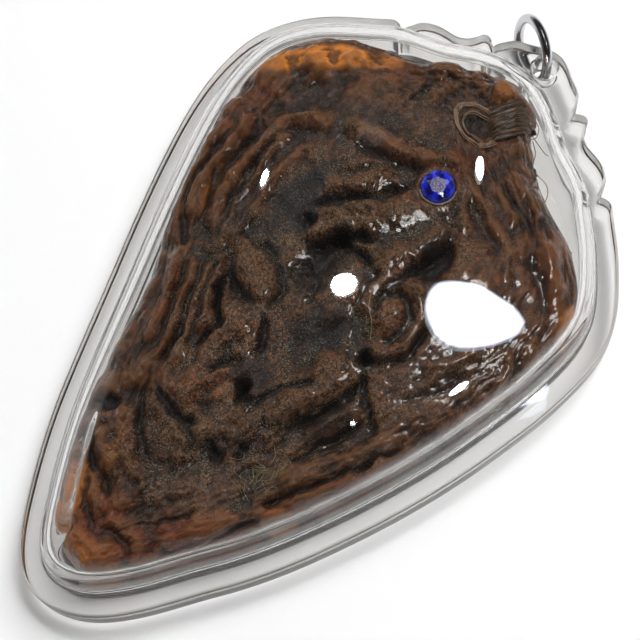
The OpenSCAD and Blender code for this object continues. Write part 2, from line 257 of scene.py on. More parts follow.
def grid_faces(rows, around, closed=False):
    """Faces of a grid whose rows are loops. A closed grid joins its last row to its first."""
    return [(k * around + i, n * around + i, n * around + j, k * around + j)
            for k in range(rows if closed else rows - 1) for n in [(k + 1) % rows]
            for i in range(around) for j in [(i + 1) % around]]


def mesh_object(name, points, faces, flat=None):
    mesh = bpy.data.meshes.new(name)
    mesh.from_pydata((np.asarray(points) * MM).tolist(), [], faces)
    mesh.polygons.foreach_set("use_smooth", [not f for f in flat] if flat else [True] * len(faces))
    mesh.update()
    made = bpy.data.objects.new(name, mesh)
    scene.collection.objects.link(made)
    return made


def add_node(tree, kind, inputs=None, **settings):
    """A new node. Each input is given a value, or another node's output to be joined to."""
    made = tree.nodes.new(kind)
    for key, value in settings.items():
        setattr(made, key, value)
    for key, value in (inputs or {}).items():
        if isinstance(value, bpy.types.NodeSocket):
            tree.links.new(value, made.inputs[key])
        else:
            made.inputs[key].default_value = value
    return made


# Case

# Profile of the dome from its foot to its top: rise, inset along the normal, share of the way to the spine
DOME = [(0, 0, 0), (2.4, 0.25, 0), (4.4, 0.9, 0), (5.9, 2.3, 0), (6.9, 3, 0.07),
        (7.6, 3, 0.2), (8.1, 3, 0.4), (8.4, 3, 0.65), (8.5, 3, 0.92)]
HALF_WIDTH = 21             # usual distance from the 3 mm inset to the spine
# Profile of the tray, from the edge of its flat bottom out and up: height, inset
TRAY = [(0, 3), (0.04, 2.5), (0.15, 1.9), (0.33, 1.35), (0.55, 0.9), (0.85, 0.48), (1.2, 0.2), (1.6, 0.05),
        (2, 0)]


def dome_profile(count):
    """Rise, inset and share from the foot to the spine."""
    rows = DOME + [(8.5, 3, 1.0)] + [(rise, 3, 2 - share) for rise, _, share in DOME[:-3:-1]]
    rows = np.array(rows, float)
    run = rows[:, 1] + HALF_WIDTH * rows[:, 2]
    at = np.concatenate([[0], np.cumsum(np.hypot(np.diff(run), np.diff(rows[:, 0])))])
    fine = spline(rows, at, count)
    fine = fine[fine[:, 2] <= 0.985]
    fine[:, 0] = np.minimum(fine[:, 0], DOME_TOP - DOME_FOOT)
    return fine


def cavity_inset(height):
    """How far inside the foot the cavity's side is below the dome. It leans, so that the charm shows."""
    return WALL - THINNER - DRAFT * (DOME_FOOT - height)


def make_case():
    case = Shell()
    fine = dome_profile(DOME_STEPS)

    tray = [foot_ring(z, inset)
            for z, inset in TRAY + [(2.3, 0), (2.45, -0.04), (2.55, -0.14), (PLATE_BOTTOM, -0.3)]]
    bottom, tray_top = case.sleeve(tray)
    case.level([bottom], upward=False)
    edge = [(PLATE_BOTTOM, 0.4), (PLATE_BOTTOM + 0.06, 0.18), (PLATE_BOTTOM + 0.22, 0.04),
            (PLATE_BOTTOM + 0.5, 0), (PLATE_TOP - 0.5, 0), (PLATE_TOP - 0.22, 0.04),
            (PLATE_TOP - 0.06, 0.18), (PLATE_TOP, 0.4)]
    first = len(case.faces)
    rim_low, rim_high = case.sleeve([rim_ring(z, inset) for z, inset in edge])
    last = len(case.faces)
    bore = [(PLATE_BOTTOM, 0.3), (PLATE_BOTTOM + 0.1, 0.1), (PLATE_BOTTOM + 0.3, 0),
            (PLATE_TOP - 0.3, 0), (PLATE_TOP - 0.1, 0.1), (PLATE_TOP, 0.3)]
    bore_low, bore_high = case.sleeve([hole_ring(z, HOLE_R + wider) for z, wider in bore], inside=True)
    case.level([rim_low, tray_top, bore_low], upward=False)

    fillet = [(PLATE_TOP, -0.35), (PLATE_TOP + 0.06, -0.16), (PLATE_TOP + 0.2, -0.03)]
    outer = [foot_ring(z, inset) for z, inset in fillet]
    outer += [foot_ring(DOME_FOOT + rise, inset, share) for rise, inset, share in fine if rise > 0.35]
    dome_low, crown = case.sleeve(outer)
    case.level([rim_high, dome_low, bore_high], upward=True)
    case.level([crown], upward=True)

    tray_inset = cavity_inset(FLOOR_TOP + 1)
    corner = [(FLOOR_TOP + 1 - math.sin(a), tray_inset + 1 - math.cos(a))
              for a in np.radians([90, 70, 50, 30, 15, 0])]
    cavity = [foot_ring(z, inset) for z, inset in corner]
    cavity += [foot_ring(z, cavity_inset(z)) for z in np.linspace(3.2, DOME_FOOT, 5)]
    dome = np.array([foot_ring(DOME_FOOT + rise, inset, share) for rise, inset, share in fine])
    outward = np.cross(np.roll(dome, -1, 1) - np.roll(dome, 1, 1), np.gradient(dome, axis=0))
    wall = WALL - THINNER * (1 - ease(fine[:, 0] / 3))
    within = dome - wall[:, None, None] * outward / np.linalg.norm(outward, axis=2)[:, :, None]
    cavity += list(within[2:])
    floor, ceiling = case.sleeve(cavity, inside=True)
    case.level([floor], upward=True)
    case.level([ceiling], upward=False)
    made = case.mesh_object("clear_case")
    edges = made.data.attributes.new("edge", "FLOAT", "FACE")
    edges.data.foreach_set("value", [float(first <= i < last) for i in range(len(case.faces))])
    return made


clear_case = make_case()


# Charm

# Sections across the charm, from the crest end to the tip: left x, left y, right x, right y, and how far the
# skin's soft edge reaches beyond the left end and the right end, up to the side of the case
SECTIONS = [
    (-1.5, 40.2, 2.6, 40.1, 0.6, 0.7), (-4.4, 39.2, 4.3, 39, 0.6, 0.9),
    (-7.9, 37.4, 4.9, 37, 0.5, 1.2), (-11.9, 34.2, 6.8, 35, 0.8, 1.4),
    (-16.6, 31.4, 10.2, 32.4, 1.6, 1.2), (-20.5, 29.4, 14.6, 30, 1.65, 1.2),
    (-24.6, 26.2, 20.8, 27.6, 0.85, 1.3), (-26.4, 21.8, 25.8, 23, 0.95, 1.8),
    (-26, 17, 27.8, 18, 1.2, 1.22), (-24.9, 13.6, 28.2, 12.6, 1.3, 0.88),
    (-25.3, 10.8, 27.9, 8.6, 0.7, 0.86), (-23.6, 6, 27, 3.8, 0.6, 1.1),
    (-21.4, 1.1, 26.1, -1.6, 0.68, 1.1), (-18.4, -4.1, 24.9, -7.4, 1.2, 0.98),
    (-14.9, -9, 23.4, -13, 1.2, 0.9), (-11.4, -14.9, 21.2, -19.3, 1.7, 0.98),
    (-8.7, -20, 19.4, -24, 2.6, 0.92), (-7.1, -25.2, 17, -29.1, 1.85, 0.83),
    (-5.7, -29.7, 14.3, -33.2, 0.95, 1.2), (-3.1, -34, 12, -36.8, 0.86, 1.4),
    (-0.1, -38.4, 10.2, -39.8, 0.75, 1.2), (1.5, -40.3, 9, -41.3, 0.8, 1.2),
    (4.2, -41.9, 7.6, -42.2, 0.9, 1.2)]
UNDER_Z, EDGE_Z, SHOULDER_Z, FOLD_TOP = 1.6, 5.5, 10.0, 12.9
EDGE_ROUND, UNDER_ROUND, SWELL = 3.4, 3.0, 0.5
# Room under the dome: distances from the charm's edge, and the highest place at each
ROOM = (0, 1, 2, 3.8, 6.4), (8.9, 10.1, 11.2, 12.0, FOLD_TOP)
SECTION_STEPS, TOP_STRIPS, UNDER_STRIPS = 14, 288, 16
GEM_AT, SEAT_Z = np.array([4.0, 21.9]), 10.6
SEAT_R, LIP_R, LIP_RISE, LIP_WIDTH = 2.4, 2.6, 0.6, 0.3     # flat seat of the stone, lip of resin round it
STONE_R, STONE_LIFT, STONE_TIP = 2.16, 0.85, 10             # lift above the seat, degrees towards the viewer
BEAD_R, BEAD_Z = 2.36, SEAT_Z + 0.58

# Creases (below zero) and ridges of the charm: rise, half width on the left and on the right of the path,
# then the path in picture pixels
STROKES = [
    # arch at the upper left and the parallel ridges that come down from it
    (0.9, 0.9, 1.3, (332, 138), (326, 129), (313, 122), (294, 122), (278, 129), (262, 148), (243, 170),
     (230, 189), (218, 209), (208, 235)),
    (0.7, 0.7, 0.8, (300, 136), (285, 141), (269, 158), (256, 177), (243, 199), (229, 221), (218, 247),
     (212, 262)),
    (0.6, 0.7, 0.8, (318, 148), (300, 155), (284, 172), (268, 190), (254, 208), (240, 228), (228, 250)),
    (0.8, 0.8, 0.9, (256, 112), (249, 122), (240, 138), (227, 154), (214, 167), (202, 183), (195, 202),
     (196, 222)),
    (-0.9, 0.6, 0.7, (270, 122), (258, 135), (244, 152), (228, 172), (214, 192), (206, 215), (200, 240)),
    (-0.7, 0.5, 0.6, (280, 135), (262, 158), (248, 180), (233, 205), (222, 228), (212, 250)),
    (0.6, 0.7, 0.9, (232, 118), (222, 135), (208, 152), (196, 168), (186, 188), (180, 210), (178, 235)),
    (-0.7, 0.6, 0.6, (226, 140), (208, 162), (194, 180), (186, 205), (184, 232), (180, 255)),
    # long ridges down the left side
    (0.9, 0.8, 0.9, (214, 262), (204, 290), (196, 318), (186, 345), (172, 372)),
    (0.8, 0.7, 0.8, (228, 252), (218, 275), (210, 302), (203, 325), (196, 342)),
    (-0.9, 0.5, 0.6, (222, 258), (211, 285), (202, 311), (194, 336), (180, 362)),
    (0.7, 0.8, 0.9, (196, 262), (188, 290), (178, 318), (166, 345), (148, 372), (128, 396)),
    (-0.8, 0.6, 0.6, (205, 262), (195, 292), (186, 318), (174, 344), (156, 372)),
    (0.6, 0.7, 0.8, (184, 240), (176, 268), (168, 296), (158, 322), (144, 348)),
    (-0.6, 0.5, 0.5, (188, 258), (180, 284), (170, 312), (160, 336), (146, 358)),
    # overlapping lobes left of the middle
    (-1.5, 0.5, 0.6, (236, 252), (230, 262), (230, 274), (238, 290), (250, 304), (262, 314)),
    (-1.1, 0.6, 0.5, (262, 314), (276, 306), (284, 292), (282, 274), (274, 258), (262, 248), (246, 246)),
    (-1.6, 0.5, 0.5, (226, 276), (221, 290), (219, 304), (220, 320), (216, 334)),
    (-0.9, 0.6, 0.6, (262, 314), (266, 330), (262, 348), (248, 358)),
    (-1.0, 0.5, 0.6, (232, 318), (220, 330), (206, 340), (192, 356)),
    (-0.8, 0.6, 0.5, (248, 358), (232, 366), (214, 372), (198, 376)),
    # middle: slits, hollows and the olive lobe
    (-1.2, 0.6, 0.8, (310, 204), (326, 201), (345, 199), (377, 196), (402, 189), (416, 183)),
    (-1.7, 0.9, 0.9, (304, 212), (308, 222), (306, 230)),
    (-1.3, 0.6, 0.7, (300, 238), (316, 243), (334, 242), (350, 238), (364, 238), (378, 246)),
    (-1.4, 0.7, 0.7, (332, 230), (342, 240), (354, 250), (366, 258), (376, 268)),
    (0.6, 1.0, 1.0, (318, 222), (340, 216), (362, 214), (384, 210), (404, 204)),
    (0.5, 0.8, 0.9, (322, 188), (345, 184), (370, 182), (394, 176)),
    (-0.6, 0.5, 0.5, (330, 176), (350, 172), (372, 170), (388, 166)),
    (-0.9, 0.6, 0.6, (376, 268), (370, 284), (362, 300), (352, 316)),
    (-0.8, 0.7, 0.7, (300, 256), (312, 268), (318, 284), (312, 300), (298, 312)),
    # flap that runs to the stone, and its dark underside
    (0.9, 1.4, 0.8, (340, 130), (360, 133), (385, 148), (409, 160), (430, 166), (452, 168), (474, 176)),
    (-1.0, 0.5, 0.6, (352, 142), (367, 150), (384, 158), (402, 166), (416, 172), (426, 180)),
    (0.5, 0.7, 0.7, (420, 116), (428, 106), (440, 96), (452, 90), (464, 90)),
    (-0.5, 0.6, 0.6, (404, 108), (414, 100), (426, 92), (436, 80)),
    (0.4, 0.7, 0.7, (470, 96), (464, 84), (454, 76)),
    (0.5, 0.8, 0.7, (488, 100), (480, 88), (470, 78)),
    # diagonal fold under the stone, the curl and the pit
    (0.9, 1.5, 0.9, (372, 282), (384, 272), (402, 260), (424, 248), (444, 236), (456, 226)),
    (-1.4, 0.6, 0.8, (384, 290), (400, 280), (414, 266), (428, 258), (444, 250), (452, 242)),
    (0.8, 0.9, 0.9, (366, 320), (362, 304), (368, 290), (384, 282), (402, 282), (416, 292), (420, 310),
     (414, 332), (404, 348), (388, 357), (372, 352), (362, 344)),
    (-1.0, 0.6, 0.6, (378, 322), (376, 306), (384, 294), (398, 294), (407, 304), (407, 320), (399, 334),
     (386, 342), (376, 336)),
    (-1.9, 0.9, 0.8, (360, 352), (364, 358), (368, 368)),
    (-1.1, 0.5, 0.5, (352, 350), (360, 358), (374, 362), (392, 362), (408, 354), (420, 338), (428, 324)),
    (-1.3, 0.5, 0.5, (368, 366), (365, 384), (365, 404), (372, 424), (374, 438)),
    # folds and beaded lines right of the stone
    (0.6, 0.6, 0.6, (446, 168), (458, 184), (464, 200), (465, 224), (462, 244)),
    (-0.6, 0.5, 0.5, (440, 212), (448, 222), (452, 236), (448, 252)),
    (0.5, 0.6, 0.6, (462, 174), (474, 192), (486, 214), (498, 236), (508, 254), (518, 250), (521, 236)),
    (-0.5, 0.5, 0.5, (468, 200), (478, 222), (490, 244), (502, 262)),
    (0.5, 0.7, 0.7, (486, 182), (500, 200), (512, 220), (516, 236)),
    (-0.5, 0.5, 0.5, (496, 178), (510, 198), (524, 222), (530, 246)),
    (0.5, 0.7, 0.7, (508, 168), (522, 188), (534, 212), (540, 240), (544, 268)),
    (-0.5, 0.5, 0.5, (530, 250), (534, 276), (540, 300), (546, 322)),
    (0.6, 0.8, 0.8, (546, 236), (552, 258), (554, 284), (556, 306)),
    (0.5, 0.5, 0.6, (511, 348), (511, 364), (503, 381), (492, 397), (476, 410)),
    (-0.5, 0.5, 0.5, (518, 346), (518, 366), (510, 384), (498, 402), (482, 414)),
    (0.5, 0.7, 0.7, (536, 344), (530, 366), (518, 388), (500, 408), (478, 424)),
    (-0.5, 0.6, 0.6, (546, 350), (538, 374), (524, 396), (504, 416)),
    (0.5, 0.9, 0.9, (420, 380), (444, 370), (466, 356), (488, 352)),
    (-0.5, 0.7, 0.7, (396, 404), (420, 396), (448, 388), (474, 374)),
    # low lobes and clefts of the lower middle
    (-1.2, 0.5, 0.6, (161, 384), (164, 400), (172, 414), (188, 424), (206, 430)),
    (-0.9, 0.5, 0.5, (234, 412), (240, 400), (246, 386), (250, 372)),
    (-1.0, 0.5, 0.5, (176, 422), (186, 432), (192, 446), (188, 462)),
    (-1.3, 0.6, 0.6, (208, 436), (212, 448), (218, 460), (214, 472)),
    (-1.5, 0.7, 0.7, (236, 380), (246, 390), (250, 402), (256, 396)),
    (-1.2, 0.6, 0.6, (238, 440), (242, 450), (236, 462)),
    (-0.9, 0.5, 0.5, (244, 420), (260, 404), (282, 394), (304, 388), (326, 384)),
    (-1.3, 0.6, 0.7, (290, 432), (310, 420), (331, 410), (348, 398), (363, 382)),
    (0.7, 0.9, 0.8, (262, 428), (282, 416), (306, 404), (330, 394), (348, 382)),
    (0.6, 0.8, 0.8, (300, 446), (322, 432), (344, 420), (360, 404)),
    (-0.9, 0.6, 0.6, (282, 464), (304, 456), (328, 442), (350, 430), (366, 420)),
    (0.6, 0.9, 0.9, (274, 486), (304, 474), (338, 460), (372, 446), (404, 430)),
    (-0.7, 0.6, 0.6, (258, 504), (292, 492), (330, 478), (366, 464), (402, 446)),
    (0.6, 0.8, 0.8, (276, 508), (312, 496), (350, 482), (388, 466), (420, 450)),
    # ridges towards the tip
    (0.8, 0.9, 0.9, (128, 402), (122, 424), (122, 448), (130, 470), (140, 482)),
    (-1.0, 0.5, 0.5, (146, 392), (143, 412), (142, 434), (143, 454), (150, 470)),
    (0.7, 0.8, 0.8, (103, 424), (104, 444), (110, 464), (120, 482), (126, 498)),
    (-0.9, 0.5, 0.5, (92, 424), (90, 444), (96, 466), (104, 486), (108, 504)),
    (0.7, 0.8, 0.8, (84, 440), (78, 462), (74, 486), (72, 508), (76, 528)),
    (-0.6, 0.5, 0.5, (86, 470), (84, 494), (90, 516), (96, 534)),
    (0.7, 0.35, 0.35, (130, 484), (137, 478), (144, 480), (143, 490), (136, 496), (137, 505)),
    (0.5, 0.6, 0.6, (104, 518), (120, 524), (134, 536), (140, 552)),
    (-0.5, 0.5, 0.5, (96, 528), (112, 532), (124, 542), (126, 556)),
    (-0.7, 0.4, 0.4, (150, 560), (180, 552), (216, 538), (250, 524), (268, 516)),
    (0.6, 0.9, 0.6, (148, 550), (180, 540), (214, 528), (244, 518)),
    (0.5, 0.7, 0.6, (262, 520), (278, 518), (296, 520)),
]

# Lobes (above zero) and hollows: rise, half length, half width, heading in the picture (0 right, 90 up),
# then the middle in picture pixels
LOBES = [
    (1.5, 4.6, 2.9, -58, 257, 277), (1.2, 3.8, 3.4, 60, 240, 322), (0.9, 5.0, 4.0, 30, 214, 356),
    (0.9, 4.4, 3.2, 80, 182, 392), (0.8, 4.4, 3.0, 15, 214, 396), (0.9, 3.4, 2.6, 30, 190, 440),
    (0.8, 2.8, 2.4, 20, 228, 432), (1.0, 6.0, 2.6, 28, 284, 408), (0.8, 3.4, 2.4, 25, 332, 372),
    (0.9, 5.5, 2.4, 8, 356, 222), (0.8, 4.0, 2.2, 20, 416, 206), (1.0, 3.0, 2.4, 90, 389, 318),
    (0.8, 4.2, 3.4, 10, 330, 300), (-1.2, 4.0, 2.2, 40, 318, 260), (-1.3, 2.8, 2.0, 60, 434, 266),
    (0.6, 5.0, 4.0, 0, 458, 300), (-0.6, 5.5, 2.4, 20, 300, 104), (0.6, 4.0, 3.0, 10, 374, 98),
    (0.7, 2.2, 1.8, 20, 274, 74), (0.8, 2.0, 1.8, -20, 318, 66), (0.8, 1.9, 1.6, 10, 352, 66),
    (0.7, 1.9, 1.5, 60, 230, 108), (0.9, 2.4, 1.8, 40, 506, 94), (0.6, 2.0, 1.6, 20, 446, 72),
    (0.5, 2.0, 1.6, 20, 474, 78), (0.7, 2.0, 1.6, 90, 549, 262), (0.6, 1.8, 1.4, 90, 556, 300),
    (0.6, 2.2, 1.8, 70, 564, 338), (0.6, 4.0, 1.6, 60, 520, 396), (0.6, 2.6, 1.8, -30, 88, 556),
    (0.7, 2.2, 1.6, 10, 110, 560), (0.6, 2.4, 1.8, 0, 110, 500), (-0.5, 2.2, 1.8, 60, 112, 486),
    (0.6, 3.0, 1.6, 20, 210, 520), (0.8, 2.6, 1.2, -10, 278, 520), (-1.0, 1.6, 1.2, 0, 108, 404),
    (0.5, 5.0, 2.6, 20, 200, 494), (0.5, 4.0, 3.0, 0, 478, 266), (-0.7, 5.0, 1.8, 30, 344, 446),
    (-0.6, 1.8, 1.6, 0, 474, 128),
]


def rough(points, size, seed, octaves=2):
    """Even noise of about that grain size, between about -1 and 1."""
    scaled = points / size
    return np.array([noise.fractal(Vector((x, y, seed)), 0.7, 2.1, octaves) for x, y in scaled])


def charm_sections(steps):
    """The sections with their ends moved out to the soft, uneven edge of the skin."""
    rows = through(SECTIONS, steps)
    for ends, reach, turn in ((slice(0, 2), rows[:, 4], -1), (slice(2, 4), rows[:, 5], 1)):
        along = np.gradient(rows[:, ends], axis=0)
        outward = turn * np.column_stack([-along[:, 1], along[:, 0]]) / np.linalg.norm(along, axis=1)[:, None]
        uneven = 0.28 * np.minimum(rough(rows[:, ends], 2.4, 11.3) - 0.3, 0)
        rows[:, ends] += (reach + uneven)[:, None] * outward
    return rows[:, :4]


coarse = charm_sections(5)
charm_outline = np.concatenate([coarse[:, :2], coarse[::-1, 2:]])


def edge_distance(points):
    best = np.full(len(points), 1e9)
    for a, b in zip(charm_outline, np.roll(charm_outline, -1, 0)):
        step = b - a
        share = np.clip((points - a) @ step / (step @ step), 0, 1)
        best = np.minimum(best, np.linalg.norm(points - a - share[:, None] * step, axis=1))
    return best


def quarter_round(distance, width):
    return np.sqrt(1 - np.clip(1 - distance / width, 0, 1) ** 2)


def ground(distance):
    """Height of the charm without its folds, by distance from its edge."""
    return (EDGE_Z + (SHOULDER_Z - EDGE_Z) * quarter_round(distance, EDGE_ROUND)
            + SWELL * ease((distance - 4) / 9))


def on_charm(pixels):
    """Places x, y at which picture pixels meet the charm's smooth ground."""
    height = np.full(len(pixels), SHOULDER_Z)
    for _ in range(4):
        places = at_height(pixels, height)
        height = ground(edge_distance(places))
    return places


def picture_heading(middle, degrees):
    """Direction on the charm of a heading in the picture at a place."""
    a = math.radians(degrees)
    ends = on_charm([middle, (middle[0] + 10 * math.cos(a), middle[1] - 10 * math.sin(a))])
    return (ends[1] - ends[0]) / np.linalg.norm(ends[1] - ends[0])


def in_oval(points, middle, heading, half_length, half_width):
    """Square of how far out in an oval each point lies: 0 in its middle, 1 on its border."""
    off = points - middle
    u = off @ heading / half_length
    v = (off[:, 1] * heading[0] - off[:, 0] * heading[1]) / half_width
    return u * u + v * v


strokes = [(height, left, right, on_charm(path)) for height, left, right, *path in STROKES]
lobes = [(height, on_charm([middle])[0], picture_heading(middle, heading), half_length, half_width)
         for height, half_length, half_width, heading, *middle in LOBES]
RELIEF = 1.35               # strength of all strokes and lobes
TAPER = 2.0                 # length over which a crease or a ridge starts and ends


def folds(points):
    """Rise of all ridges and lobes, and how deep in a crease each point lies."""
    rise, crease = np.zeros(len(points)), np.zeros(len(points))
    for height, left, right, path in strokes:
        reach = max(2.6 * max(left, right), 2.8)
        near = np.all((points > path.min(0) - reach) & (points < path.max(0) + reach), axis=1)
        if not near.any():
            continue
        distance, side, along, length = nearest_on_path(points[near], path)
        width = np.where(side > 0, left, right)
        ends = ease(np.minimum(along, length - along) / min(TAPER, 0.4 * length))
        if height < 0:
            shape = np.exp(-(distance / (0.8 * width)) ** 1.3) * ends
            crease[near] = np.maximum(crease[near], -height * shape)
        else:
            shape = np.exp(-(distance / width) ** 2) * ends
        rise[near] += height * shape
        wrinkled = np.column_stack([side * distance / 0.5, along / 3.2 + 7 * abs(height) + path[0, 0]])
        rise[near] += (0.11 * np.exp(-(distance / 1.7) ** 2) * ends
                       * (1 - 2.4 * np.abs(rough(wrinkled, 1, 3.3, 1))))
    for height, *oval_shape in lobes:
        rise += height * np.exp(-in_oval(points, *oval_shape) ** 1.6)
    return RELIEF * rise, crease


def charm_top(points):
    """Height of the charm's upper face and its crease depth at points inside its outline."""
    distance = np.maximum(edge_distance(points), 0.01)
    warp = 0.5 * np.column_stack([rough(points, 4.5, 3.1), rough(points, 4.5, 8.7)])
    warp += 0.25 * np.column_stack([rough(points, 1.5, 2.3), rough(points, 1.5, 6.9)])
    rise, crease = folds(points + warp)
    uneven = 1 + 0.5 * rough(points, 3.0, 7.7)
    rise, crease = rise * uneven, crease * uneven
    # lines in the skin run along the charm's edge and fade towards its middle
    round_it = 18 * np.arctan2(points[:, 1] - 4, points[:, 0] - 1)
    flow = np.column_stack([distance + 1.4 * warp[:, 0], round_it / 7])
    lines = (1 - 2 * np.abs(rough(flow, 0.95, 9.4))) * (1 - ease((distance - 7) / 8))
    lumps = 0.34 * rough(points, 5, 5.2) + 0.2 * rough(points, 1.7, 1.3, 3)
    crumbs = 0.16 * rough(points, 0.75, 4.9)
    rise = rise + lumps + 0.2 * lines + crumbs
    height = ground(distance) + rise * ease(distance / 1.5)
    over = np.maximum(height - (np.interp(distance, *ROOM) - 0.7), 0)
    height = height - over + 0.7 * (1 - np.exp(-over / 0.7))
    off_stone = np.linalg.norm(points - GEM_AT, axis=1)
    height = SEAT_Z + (height - SEAT_Z) * ease((off_stone - SEAT_R) / 1.6)
    return height + LIP_RISE * np.exp(-((off_stone - LIP_R) / LIP_WIDTH) ** 2), crease


def blurred(heights, reach):
    """Mean of a grid of heights over squares of that reach."""
    for axis in (0, 1):
        borders = [(reach + 1, reach) if a == axis else (0, 0) for a in (0, 1)]
        sums = np.cumsum(np.pad(heights, borders, mode="edge"), axis)
        at, window = np.arange(heights.shape[axis]), 2 * reach + 1
        heights = (np.take(sums, at + window, axis) - np.take(sums, at, axis)) / window
    return heights


def make_charm():
    """The charm's skin: a fine upper face, and an underside that only meets the tray."""
    rows = charm_sections(SECTION_STEPS)

    def across(strips):
        u = np.linspace(-1, 1, strips + 1)[1:-1]
        w = (1 + 0.4 * u + 0.6 * np.sin(u * math.pi / 2)) / 2
        return rows[:, None, :2] * (1 - w[None, :, None]) + rows[:, None, 2:] * w[None, :, None]

    upper, lower = across(TOP_STRIPS), across(UNDER_STRIPS)[:, ::-1]
    flat_upper, flat_lower = upper.reshape(-1, 2), lower.reshape(-1, 2)
    top, crease = charm_top(flat_upper)
    under_distance = edge_distance(flat_lower)
    under = EDGE_Z + (UNDER_Z - EDGE_Z) * quarter_round(under_distance, UNDER_ROUND)
    edge = np.full((len(rows), 1), EDGE_Z)
    left = np.column_stack([rows[:, :2], edge])[:, None]
    right = np.column_stack([rows[:, 2:], edge])[:, None]
    upper = np.column_stack([flat_upper, top]).reshape(len(rows), -1, 3)
    lower = np.column_stack([flat_lower, under]).reshape(len(rows), -1, 3)
    grid = np.concatenate([left, upper, right, lower], axis=1)
    around = grid.shape[1]
    faces = grid_faces(len(rows), around)
    faces.append(tuple(range(around)))
    faces.append(tuple((len(rows) - 1) * around + i for i in reversed(range(around))))
    charm = mesh_object("charm_skin", grid.reshape(-1, 3), faces)
    depth, stand = np.zeros((2, len(rows), around))
    depth[:, 1:upper.shape[1] + 1] = crease.reshape(len(rows), -1)
    stand[:, 1:upper.shape[1] + 1] = upper[:, :, 2] - blurred(blurred(upper[:, :, 2], 6), 6)
    return charm, grid.reshape(-1, 3), depth.reshape(-1), stand.reshape(-1)


charm_skin, charm_points, charm_crease, charm_stand = make_charm()
for obj in (charm_skin, clear_case):
    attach(obj, "case")
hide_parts("charm_body")
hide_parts("front_dome", "rim_plate", "back_cover")


# Ring

RING_R, WIRE_R, RING_REACH, RING_Z, RING_TURN, RING_LEAN = 4.3, 0.675, 4.0, 4.95, 155, 12


def make_ring():
    """A closed wire ring through the crest's hole."""
    round_steps, wire_steps = 144, 28
    place = (Matrix.Translation((0, HOLE_Y, 0)) @ Matrix.Rotation(math.radians(RING_TURN), 4, "Z")
             @ Matrix.Translation((RING_REACH, 0, RING_Z))
             @ Matrix.Rotation(math.radians(90 + RING_LEAN), 4, "X"))
    points = []
    for a in np.arange(round_steps) * 2 * math.pi / round_steps:
        for b in np.arange(wire_steps) * 2 * math.pi / wire_steps:
            r = RING_R + WIRE_R * math.cos(b)
            points.append(place @ Vector((r * math.cos(a), r * math.sin(a), WIRE_R * math.sin(b))))
    return mesh_object("steel_ring", points, grid_faces(round_steps, wire_steps, closed=True))


steel_ring = make_ring()
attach(steel_ring, "ring")
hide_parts("ring")


# Hair and fibres

def strand_tree():
    """Turns polylines into round strands. Each strand gets its own shade from 0 to 1."""
    tree = bpy.data.node_groups.new("strands", "GeometryNodeTree")
    face = tree.interface
    face.new_socket("Paths", in_out="INPUT", socket_type="NodeSocketGeometry")
    kinds = {"Thickness": "Float", "Wander": "Float", "Wander size": "Float", "Sides": "Int", "Seed": "Int",
             "Finish": "Material"}
    names = {name: face.new_socket(name, in_out="INPUT", socket_type="NodeSocket" + kind).identifier
             for name, kind in kinds.items()}
    face.new_socket("Strands", in_out="OUTPUT", socket_type="NodeSocketGeometry")

    def made(kind, inputs=None, out=0, **settings):
        return add_node(tree, kind, inputs, **settings).outputs[out]

    start = tree.nodes.new("NodeGroupInput").outputs
    lines = made("GeometryNodeMeshToCurve", {"Mesh": start["Paths"]})
    shade = made("FunctionNodeRandomValue", {"Seed": start["Seed"], "ID": made("GeometryNodeInputIndex")},
                 out=1)
    shaded = made("GeometryNodeStoreNamedAttribute", {"Name": "shade", "Geometry": lines, "Value": shade},
                  domain="CURVE", data_type="FLOAT")
    drift = made("ShaderNodeTexNoise", {"Vector": made("GeometryNodeInputPosition"),
                                        "Scale": start["Wander size"], "Detail": 1.0}, out="Color")
    drift = made("ShaderNodeVectorMath", {0: drift, 1: (0.5, 0.5, 0.5)}, operation="SUBTRACT")
    drift = made("ShaderNodeVectorMath", {0: drift, "Scale": start["Wander"]}, operation="SCALE")
    moved = made("GeometryNodeSetPosition", {"Geometry": shaded, "Offset": drift})
    radius = made("ShaderNodeMath", {0: start["Thickness"], 1: 0.5}, operation="MULTIPLY")
    section = made("GeometryNodeCurvePrimitiveCircle", {"Radius": radius, "Resolution": start["Sides"]})
    swept = made("GeometryNodeCurveToMesh", {"Curve": moved, "Profile Curve": section, "Fill Caps": True})
    smooth = made("GeometryNodeSetShadeSmooth", {"Geometry": swept})
    whole = made("GeometryNodeRealizeInstances", {0: smooth})
    finished = made("GeometryNodeSetMaterial", {"Geometry": whole, "Material": start["Finish"]})
    add_node(tree, "NodeGroupOutput", {0: finished})
    return tree, names


strands, strand_inputs = strand_tree()


def make_strands(name, paths, finish, thickness, wander=0.0, wander_size=400.0, sides=6, seed=1):
    """Strands along paths in millimetres, as one plain mesh. Their thickness and wander are in metres."""
    points, edges = [], []
    for path in paths:
        edges += [(len(points) + i, len(points) + i + 1) for i in range(len(path) - 1)]
        points += [tuple(MM * c for c in p) for p in path]
    lines = bpy.data.meshes.new(name + "_paths")
    lines.from_pydata(points, edges, [])
    guide = bpy.data.objects.new(name + "_paths", lines)
    scene.collection.objects.link(guide)
    sweep = guide.modifiers.new("strands", "NODES")
    sweep.node_group = strands
    for key, value in {"Thickness": thickness, "Wander": wander, "Wander size": wander_size, "Sides": sides,
                       "Seed": seed, "Finish": finish}.items():
        sweep[strand_inputs[key]] = value
    grown = guide.evaluated_get(bpy.context.evaluated_depsgraph_get())
    made = bpy.data.objects.new(name, bpy.data.meshes.new_from_object(grown))
    scene.collection.objects.link(made)
    bpy.data.objects.remove(guide)
    return made


def laid(path, lift):
    """Points x, y on the charm, as x, y, z that far above it."""
    path = np.asarray(path, float)
    return np.column_stack([path, charm_top(path)[0] + lift])


# Materials

